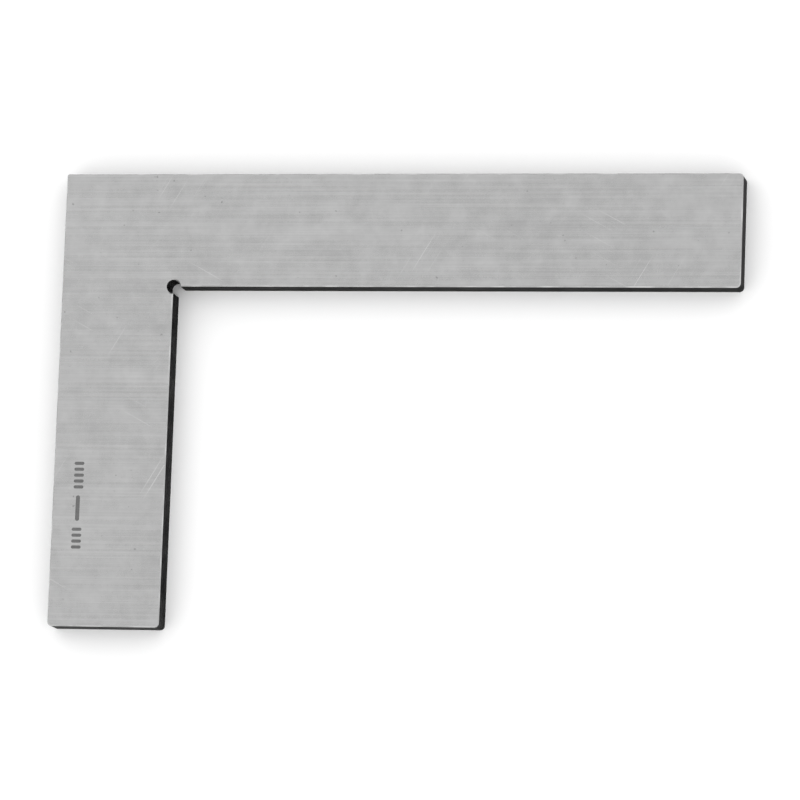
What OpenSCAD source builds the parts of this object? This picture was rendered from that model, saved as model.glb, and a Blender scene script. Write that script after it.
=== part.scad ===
// Flat square: two arms at a right angle, machined and ground as one steel plate,
// with a round relief at the inner corner and an engraved, colour-filled mark.
// Lengths are in millimetres. The origin is the outer corner on the resting plane.
// The long arm runs along +X, the short arm along -Y, and the marked face looks up +Z.

/* [Arms] */
// Outer length of the long arm
long_arm_l = 150; // [100:5:300]
// Outer length of the short arm
short_arm_l = 100; // [80:5:200]
// Width of the long arm
long_arm_w = 25; // [15:1:40]
// Width of the short arm
short_arm_w = 25; // [15:1:40]
// Thickness of the plate
plate_t = 6; // [3:0.5:12]

/* [Edges and corners] */
// Width of the bevel that breaks every edge of the two faces
edge_break = 0.25; // [0.1:0.05:0.4]
// Radius of the four corners at the ends of the arms
end_corner_r = 1; // [0.5:0.1:3]
// Radius of the outer corner, where the two outer edges meet
outer_corner_r = 0.5; // [0.5:0.1:1]
// Diameter of the relief hole at the inner corner
relief_d = 3; // [2:0.25:6]

/* [Mark] */
// Depth of the engraving
mark_depth = 0.15; // [0.1:0.05:0.5]
// Height of the colour left empty below the face
fill_below_face = 0.03; // [0.01:0.01:0.05]
// Distance from the outer edge of the short arm to the mark
mark_edge_gap = 4.6; // [2:0.2:8]
// Distance from the end of the short arm to the mark
mark_end_gap = 17; // [8:1:40]
// Length of each dash, across the arm
dash_l = 2.2; // [1.5:0.1:4]
// Width of each dash
dash_w = 0.7; // [0.3:0.05:1]
// Distance from one dash to the next
dash_pitch = 1.3; // [1.1:0.05:2]
// Dashes on the side towards the outer corner
upper_dashes = 5; // [2:1:6]
// Dashes on the side towards the end of the arm
lower_dashes = 4; // [2:1:6]
// Length of the bar between the dashes, along the arm
bar_l = 5.6; // [4:0.2:10]
// Width of the bar
bar_w = 0.9; // [0.3:0.05:1.5]
// Clear space between the bar and the nearest dash
bar_gap = 1.5; // [0.5:0.1:2]

/* [Hidden] */
$fn = 96;

relief_r = relief_d / 2;
// How far a cutter reaches past the surface that it cuts
over = 0.05;

// Corners of the outline, clockwise seen from above, so that the outside is on the left.
outer_corner = [0, 0];
long_end_outer = [long_arm_l, 0];
long_end_inner = [long_arm_l, -long_arm_w];
inner_corner = [short_arm_w, -long_arm_w];
short_end_inner = [short_arm_w, -short_arm_l];
short_end_outer = [0, -short_arm_l];
outline = [outer_corner, long_end_outer, long_end_inner, inner_corner, short_end_inner, short_end_outer];

// Each convex corner with its radius and the direction that it points in.
round_corners = [
    [outer_corner, outer_corner_r, [-1, 1]],
    [long_end_outer, end_corner_r, [1, 1]],
    [long_end_inner, end_corner_r, [1, -1]],
    [short_end_inner, end_corner_r, [1, -1]],
    [short_end_outer, end_corner_r, [-1, -1]],
];

// The mark reads along the short arm: dashes, a bar, dashes.
lower_start = -short_arm_l + mark_end_gap + dash_w / 2;
lower_end = lower_start + (lower_dashes - 1) * dash_pitch;
bar_start = lower_end + dash_w / 2 + bar_gap;
upper_start = bar_start + bar_l + bar_gap + dash_w / 2;
mark_x = mark_edge_gap + dash_l / 2;

// Puts its children at the corner's centre of rounding, with the corner towards +X +Y.
module at_corner(corner) {
    translate(corner[0] - corner[1] * corner[2])
        rotate(atan2(corner[2].y, corner[2].x) - 45)
            children();
}

// What rounding takes off one convex corner of the outline.
module corner_waste(r) {
    difference() {
        square(r + over);
        circle(r);
    }
}

// Both arms seen from above, with rounded corners and the relief hole.
module plate_outline() {
    difference() {
        polygon(outline);
        for (corner = round_corners)
            at_corner(corner) corner_waste(corner[1]);
        translate(inner_corner) circle(relief_r);
    }
}

// Section of an edge bevel's cutter: the edge is at the origin, the outside is +X and the face looks up +Y.
module bevel_section() {
    reach = edge_break + over;
    polygon([[-reach, over], [over, -reach], [over, over]]);
}

// Bevel cutter along a straight edge of the top face, with the outside on its left.
module straight_bevel(start, end) {
    along = end - start;
    translate(start)
        rotate(atan2(along.y, along.x))
            rotate([90, 0, 90])
                linear_extrude(norm(along)) bevel_section();
}

// Bevel cutter round one convex corner of the top face.
module corner_bevel(r) {
    rotate_extrude(angle = 90) translate([r, 0]) bevel_section();
}

// Bevel cutter round the rim of the relief hole.
module relief_bevel() {
    translate([0, 0, -edge_break - over])
        cylinder(h = edge_break + 2 * over, r1 = relief_r - over, r2 = relief_r + edge_break + over);
}

// All the bevel cutters of one face, with the face at height 0.
module face_bevels() {
    corners = len(outline);
    for (i = [0 : corners - 1])
        straight_bevel(outline[i], outline[(i + 1) % corners]);
    for (corner = round_corners)
        at_corner(corner) corner_bevel(corner[1]);
    translate(inner_corner) relief_bevel();
}

// A dash or bar with round ends, along +X and centred on the origin.
module stroke(length, width) {
    flat = length - width;
    square([flat, width], center = true);
    for (side = [-1, 1])
        translate([side * flat / 2, 0]) circle(width / 2);
}

// The whole mark, seen from above.
module mark_outline() {
    for (i = [0 : lower_dashes - 1])
        translate([mark_x, lower_start + i * dash_pitch]) stroke(dash_l, dash_w);
    translate([mark_x, bar_start + bar_l / 2]) rotate(90) stroke(bar_l, bar_w);
    for (i = [0 : upper_dashes - 1])
        translate([mark_x, upper_start + i * dash_pitch]) stroke(dash_l, dash_w);
}

// The steel plate.
module square_body() {
    color([0.71, 0.71, 0.71])
        difference() {
            linear_extrude(plate_t) plate_outline();
            translate([0, 0, plate_t]) face_bevels();
            mirror([0, 0, 1]) face_bevels();
            translate([0, 0, plate_t - mark_depth]) linear_extrude(mark_depth + over) mark_outline();
        }
}

// The dark colour in the engraving, just below the face.
module mark_fill() {
    color([0.3, 0.3, 0.3])
        translate([0, 0, plate_t - mark_depth])
            linear_extrude(mark_depth - fill_below_face) mark_outline();
}

square_body();
mark_fill();
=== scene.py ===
"""Flat steel square on a pale table, under soft studio light.

The steel plate and the dark filling of its mark are the CAD model's own pieces. This script gives
them their materials, and adds the table, the lights and the camera. Lengths are in metres.
"""

import math

import bpy
from mathutils import Matrix, Vector


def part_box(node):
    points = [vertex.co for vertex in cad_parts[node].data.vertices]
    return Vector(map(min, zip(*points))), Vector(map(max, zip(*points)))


# Camera, placed from the point that it looks at: an azimuth from +X, and a tilt from straight up.
# The offset leads to that point from the middle of the square's outline.
CAMERA_AIM_OFFSET = Vector((0.0003, 0.0011, 0.0))
CAMERA_DISTANCE = 1.197
CAMERA_TILT = math.radians(14.3)
CAMERA_AZIMUTH = math.radians(-36.4)
CAMERA_ROLL = math.radians(2.1)
CAMERA_LENS_MM = 248.0
CAMERA_SENSOR_MM = 36.0
CAMERA_CLIP_END = 10.0

# World light: its strength at the sides and overhead. It changes from one to the other between two
# heights, counted from 0 at the horizon to 1 straight up.
WORLD_SIDES = 1.35
WORLD_OVERHEAD = 1.05
WORLD_SIDES_TOP = 0.5
WORLD_OVERHEAD_BASE = 0.82

# Key light, a square softbox placed as the camera is. Its power is in watts.
KEY_AZIMUTH = math.radians(135.0)
KEY_TILT = math.radians(55.0)
KEY_DISTANCE = 3.5
KEY_SIZE = 4.0
KEY_POWER = 10.0

TABLE_SIZE = 4.0
TABLE_GAP = 0.00005
TABLE_TONE = 0.96
TABLE_ROUGHNESS = 0.9

# Which way the steel's surface looks: 0 level, 1 straight up or down. Each pair runs from where a
# face or wall starts to where it is complete, and the bevels lie between faces and walls.
FACE_RANGE = (0.85, 0.97)
WALL_RANGE = (0.40, 0.15)

# Steel patterns: features per metre along X, Y and Z. Grinding lines run along the long arm (X) on
# the faces, and level along the walls.
FACE_FINE_LINES = (30, 7000, 1)
FACE_MEDIUM_LINES = (14, 1700, 1)
FACE_BROAD_LINES = (7, 300, 1)
WALL_FINE_LINES = (40, 40, 7000)
WALL_MEDIUM_LINES = (18, 18, 1700)
WALL_BROAD_LINES = (9, 9, 400)
MOTTLE = (220, 220, 220)
PATCHES = (28, 28, 28)
SPECKS = (900, 900, 900)
EDGE_WEAR = (160, 160, 160)
SCRATCH_LINES = (30, 3200, 1)
SCRATCH_PLACES = (60, 60, 1)

# Where each of these patterns starts to show and where it is complete, in the noise's 0 to 1
SCRATCH_LINES_RANGE = (0.68, 0.78)
SCRATCH_PLACES_RANGE = (0.52, 0.66)
SPECKS_RANGE = (0.76, 0.82)
EDGE_WEAR_RANGE = (0.42, 0.66)

# Scratches run in two directions. Each has its turn in radians, and its shift into the noise.
FIRST_SCRATCHES = (0.5, (3, 1, 0))
SECOND_SCRATCHES = (2.1, (8, 5, 0))

# Steel tones, darkest and lightest of each part, and how strongly scratches and specks show.
FACE_TONES = (0.345, 0.505)
# The walls' tones are painted shade: far darker than the steel's own colour, so the walls look
# shaded.
WALL_SHADE_TONES = (0.09, 0.19)
BEVEL_TONES = (0.34, 0.50)
SCRATCH_TONE = 0.85
SCRATCH_STRENGTH = 0.30
SPECK_TONE = 0.12
SPECK_STRENGTH = 0.45

# Steel finish. The walls' glancing tone is painted shade that dims their glancing reflection.
STEEL_ROUGHNESS = 0.29
WALL_EXTRA_ROUGHNESS = 0.05
FACE_GLANCING_TONE = 1.0
WALL_SHADE_GLANCING_TONE = 0.17
STEEL_BUMP_STRENGTH = 0.6
STEEL_BUMP_DEPTH = 0.000004

# Filling of the mark
MARK_GRAIN = (2500, 2500, 2500)
MARK_WEAR = (500, 500, 500)
MARK_TONES = (0.08, 0.15)
MARK_ROUGHNESS = 0.65
MARK_BUMP_STRENGTH = 0.5
MARK_BUMP_DEPTH = 0.00001

# The Mix node's colour sockets go by number, because their names are those of its other types too.
MIX_FACTOR = 0
MIX_FIRST_COLOUR = 6
MIX_SECOND_COLOUR = 7
MIX_COLOUR_RESULT = 2


def add_node(tree, kind, inputs=None, **settings):
    """Adds a node. Each input is a number, a colour, a vector or another node's output."""
    node = tree.nodes.new(kind)
    for name, value in settings.items():
        setattr(node, name, value)
    for name, value in (inputs or {}).items():
        if isinstance(value, bpy.types.NodeSocket):
            tree.links.new(value, node.inputs[name])
        else:
            node.inputs[name].default_value = value
    return node


def grey(tone):
    """A neutral colour."""
    return (tone, tone, tone, 1.0)


class Graph:
    """Short calls for building the nodes of one material."""

    def __init__(self, name):
        self.material = bpy.data.materials.new(name)
        self.material.use_nodes = True
        self.tree = self.material.node_tree
        self.tree.nodes.clear()
        place = self.add("ShaderNodeTexCoord")
        self.position = place.outputs["Object"]
        self.normal = place.outputs["Normal"]

    def add(self, kind, inputs=None, **settings):
        """As add_node, in this material."""
        return add_node(self.tree, kind, inputs, **settings)

    def maths(self, operation, first, second=0.0):
        """One sum on two numbers."""
        return self.add("ShaderNodeMath", {0: first, 1: second}, operation=operation).outputs[0]

    def step(self, value, start, end):
        """0 at start, 1 at end, smooth between them and level beyond them."""
        inputs = {"Value": value, "From Min": start, "From Max": end}
        return self.add("ShaderNodeMapRange", inputs, interpolation_type="SMOOTHSTEP").outputs[0]

    def blend(self, factor, first, second):
        """first where factor is 0, second where it is 1."""
        inputs = {"Factor": factor, "A": first, "B": second}
        return self.add("ShaderNodeMix", inputs, data_type="FLOAT").outputs["Result"]

    def mix_colour(self, factor, first, second):
        """As blend, for colours."""
        inputs = {MIX_FACTOR: factor, MIX_FIRST_COLOUR: first, MIX_SECOND_COLOUR: second}
        node = self.add("ShaderNodeMix", inputs, data_type="RGBA")
        return node.outputs[MIX_COLOUR_RESULT]

    def greys(self, factor, tones):
        """The first of two greys where factor is 0, the second where it is 1."""
        return self.mix_colour(factor, grey(tones[0]), grey(tones[1]))

    def noise(self, per_metre, detail=2.0, turn=0.0, roughness=0.5, shift=(0.0, 0.0, 0.0)):
        """Noise from 0 to 1 with its own count of features per metre along X, Y and Z."""
        turned = self.position
        if turn:
            inputs = {"Vector": self.position, "Angle": turn}
            turned = self.add("ShaderNodeVectorRotate", inputs, rotation_type="Z_AXIS").outputs[0]
        inputs = {"Vector": turned, "Scale": per_metre, "Location": shift}
        scaled = self.add("ShaderNodeMapping", inputs).outputs[0]
        inputs = {"Vector": scaled, "Scale": 1.0, "Detail": detail, "Roughness": roughness}
        return self.add("ShaderNodeTexNoise", inputs).outputs[0]

    def weighted(self, base, *terms):
        """base plus each (weight, noise) pair, with the noise counted from its middle."""
        total = base
        for weight, value in terms:
            swing = self.maths("MULTIPLY", self.maths("SUBTRACT", value, 0.5), weight)
            total = self.maths("ADD", total, swing)
        return total

    def bump(self, height, strength, depth):
        """Surface normal for a height from 0 to 1 that is depth metres from low to high."""
        inputs = {"Height": height, "Strength": strength, "Distance": depth}
        return self.add("ShaderNodeBump", inputs).outputs[0]

    def finish(self, inputs):
        """Ends in one Principled shader."""
        shader = self.add("ShaderNodeBsdfPrincipled", inputs)
        self.add("ShaderNodeOutputMaterial", {"Surface": shader.outputs[0]})
        return self.material


def scratches(g, turn, shift):
    """Sparse fine scratches in one direction: 1 on a scratch, 0 elsewhere."""
    lines = g.noise(SCRATCH_LINES, detail=1.0, turn=turn, shift=shift)
    places = g.noise(SCRATCH_PLACES, detail=1.0, turn=turn, shift=shift)
    lines = g.step(lines, *SCRATCH_LINES_RANGE)
    places = g.step(places, *SCRATCH_PLACES_RANGE)
    return g.maths("MULTIPLY", lines, places)


def ground_steel():
    """Surface-ground faces, walls darkened by painted shade, and bevels between them that are worn
    in places.
    """
    g = Graph("ground_steel")
    up = g.maths("ABSOLUTE", g.add("ShaderNodeSeparateXYZ", {0: g.normal}).outputs["Z"])
    is_face = g.step(up, *FACE_RANGE)
    is_wall = g.step(up, *WALL_RANGE)
    is_bevel = g.maths("SUBTRACT", g.maths("SUBTRACT", 1.0, is_face), is_wall)

    # The shifts keep patterns of the same kind apart.
    fine = g.blend(is_face, g.noise(WALL_FINE_LINES), g.noise(FACE_FINE_LINES))
    medium = g.blend(is_face, g.noise(WALL_MEDIUM_LINES), g.noise(FACE_MEDIUM_LINES))
    broad = g.blend(is_face, g.noise(WALL_BROAD_LINES), g.noise(FACE_BROAD_LINES, detail=3.0))
    mottle = g.noise(MOTTLE, detail=5.0, roughness=0.65)
    patches = g.noise(PATCHES, detail=3.0, shift=(4.0, 2.0, 0.0))
    marks = g.maths("MAXIMUM", scratches(g, *FIRST_SCRATCHES), scratches(g, *SECOND_SCRATCHES))
    marks = g.maths("MULTIPLY", marks, is_face)
    specks = g.step(g.noise(SPECKS, detail=1.0, shift=(1.0, 7.0, 3.0)), *SPECKS_RANGE)
    worn = g.step(g.noise(EDGE_WEAR, detail=3.0, shift=(6.0, 3.0, 1.0)), *EDGE_WEAR_RANGE)

    tone = g.weighted(0.5, (0.6, fine), (0.7, medium), (0.3, broad), (1.0, mottle), (0.4, patches))
    flat_and_bevel = g.mix_colour(is_bevel, g.greys(tone, FACE_TONES), g.greys(worn, BEVEL_TONES))
    # Painted shade: the walls get much darker greys than the faces.
    colour = g.mix_colour(is_wall, flat_and_bevel, g.greys(tone, WALL_SHADE_TONES))
    colour = g.mix_colour(g.maths("MULTIPLY", marks, SCRATCH_STRENGTH), colour, grey(SCRATCH_TONE))
    colour = g.mix_colour(g.maths("MULTIPLY", specks, SPECK_STRENGTH), colour, grey(SPECK_TONE))

    rough_terms = [(0.20, medium), (0.12, broad), (0.16, mottle), (0.10, patches)]
    rough = g.weighted(STEEL_ROUGHNESS, *rough_terms)
    rough = g.maths("ADD", rough, g.maths("MULTIPLY", is_wall, WALL_EXTRA_ROUGHNESS))
    height = g.weighted(0.5, (0.6, fine), (0.9, medium), (-0.6, marks), (-0.4, specks))
    return g.finish({
        "Base Color": colour,
        "Metallic": 1.0,
        "Roughness": rough,
        # Painted shade: the walls' specular tint dims their reflection at a glancing angle.
        "Specular Tint": g.greys(is_wall, (FACE_GLANCING_TONE, WALL_SHADE_GLANCING_TONE)),
        "Normal": g.bump(height, STEEL_BUMP_STRENGTH, STEEL_BUMP_DEPTH),
    })


def mark_paint():
    """Matt dark filling, a little uneven."""
    g = Graph("mark_paint")
    grain = g.noise(MARK_GRAIN, detail=3.0)
    wear = g.noise(MARK_WEAR)
    return g.finish({
        "Base Color": g.greys(g.weighted(0.5, (0.8, grain), (0.9, wear)), MARK_TONES),
        "Roughness": g.weighted(MARK_ROUGHNESS, (0.2, wear)),
        "Normal": g.bump(grain, MARK_BUMP_STRENGTH, MARK_BUMP_DEPTH),
    })


def table_paint():
    """Plain white table."""
    g = Graph("table_paint")
    return g.finish({"Base Color": grey(TABLE_TONE), "Roughness": TABLE_ROUGHNESS})


def paint(piece, material):
    """Gives one material to a whole piece."""
    for slot in piece.material_slots:
        slot.material = material


def toward(azimuth, tilt):
    """Unit vector at an azimuth from +X and a tilt from straight up."""
    level = math.sin(tilt)
    return Vector((level * math.cos(azimuth), level * math.sin(azimuth), math.cos(tilt)))


def aimed(spot, target, roll=0.0):
    """Placement at spot, looking at target, with +Y upward in the picture before the roll."""
    back = (spot - target).normalized()
    right = Vector((0, 1, 0)).cross(back).normalized()
    up = back.cross(right)
    turned = Matrix((right, up, back)).transposed() @ Matrix.Rotation(roll, 3, "Z")
    return Matrix.Translation(spot) @ turned.to_4x4()


def add_object(name, data, placement):
    """Links an object in at a placement."""
    thing = bpy.data.objects.new(name, data)
    bpy.context.scene.collection.objects.link(thing)
    thing.matrix_world = placement
    return thing


def add_table(middle):
    """Pale plane that the square lies on, just below it so that their surfaces don't meet."""
    half = TABLE_SIZE / 2
    corners = [(-half, -half, 0), (half, -half, 0), (half, half, 0), (-half, half, 0)]
    mesh = bpy.data.meshes.new("table")
    mesh.from_pydata(corners, [], [(0, 1, 2, 3)])
    mesh.materials.append(table_paint())
    place = Matrix.Translation(middle - Vector((0, 0, TABLE_GAP)))
    add_object("table", mesh, place)


def add_world():
    """Soft light from all round, brighter from the sides than from overhead."""
    world = bpy.data.worlds.new("studio")
    world.use_nodes = True
    tree = world.node_tree
    place = add_node(tree, "ShaderNodeTexCoord")
    split = add_node(tree, "ShaderNodeSeparateXYZ", {0: place.outputs["Generated"]})
    inputs = {
        "Value": split.outputs["Z"],
        "From Min": WORLD_SIDES_TOP,
        "From Max": WORLD_OVERHEAD_BASE,
        "To Min": WORLD_SIDES,
        "To Max": WORLD_OVERHEAD,
    }
    strength = add_node(tree, "ShaderNodeMapRange", inputs, interpolation_type="SMOOTHSTEP")
    background = tree.nodes["Background"]
    background.inputs["Color"].default_value = grey(1.0)
    tree.links.new(strength.outputs[0], background.inputs["Strength"])
    bpy.context.scene.world = world


def add_key_light(target):
    """One broad dim softbox that faces the target and is hidden from the camera."""
    lamp = bpy.data.lights.new("key", "AREA")
    lamp.shape = "SQUARE"
    lamp.size = KEY_SIZE
    lamp.energy = KEY_POWER
    spot = target + toward(KEY_AZIMUTH, KEY_TILT) * KEY_DISTANCE
    add_object("key", lamp, aimed(spot, target)).visible_camera = False


def add_camera(middle):
    """Long lens, a little right of and below the square, as it is seen from above."""
    data = bpy.data.cameras.new("camera")
    data.lens = CAMERA_LENS_MM
    data.sensor_width = CAMERA_SENSOR_MM
    data.clip_end = CAMERA_CLIP_END
    target = middle + CAMERA_AIM_OFFSET
    spot = target + toward(CAMERA_AZIMUTH, CAMERA_TILT) * CAMERA_DISTANCE
    bpy.context.scene.camera = add_object("camera", data, aimed(spot, target, CAMERA_ROLL))


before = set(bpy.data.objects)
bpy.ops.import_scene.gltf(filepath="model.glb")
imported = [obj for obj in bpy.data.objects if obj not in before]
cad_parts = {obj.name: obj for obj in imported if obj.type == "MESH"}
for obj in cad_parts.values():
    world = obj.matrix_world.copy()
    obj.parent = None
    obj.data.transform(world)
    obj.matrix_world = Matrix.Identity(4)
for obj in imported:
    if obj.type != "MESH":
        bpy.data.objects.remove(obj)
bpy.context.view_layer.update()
low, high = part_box("square_body")
plate_middle = Vector(((low.x + high.x) / 2, (low.y + high.y) / 2, low.z))

paint(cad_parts["square_body"], ground_steel())
paint(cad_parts["mark_fill"], mark_paint())

add_table(plate_middle)
add_world()
add_key_light(plate_middle)
add_camera(plate_middle)
bpy.context.scene.view_settings.view_transform = "Standard"
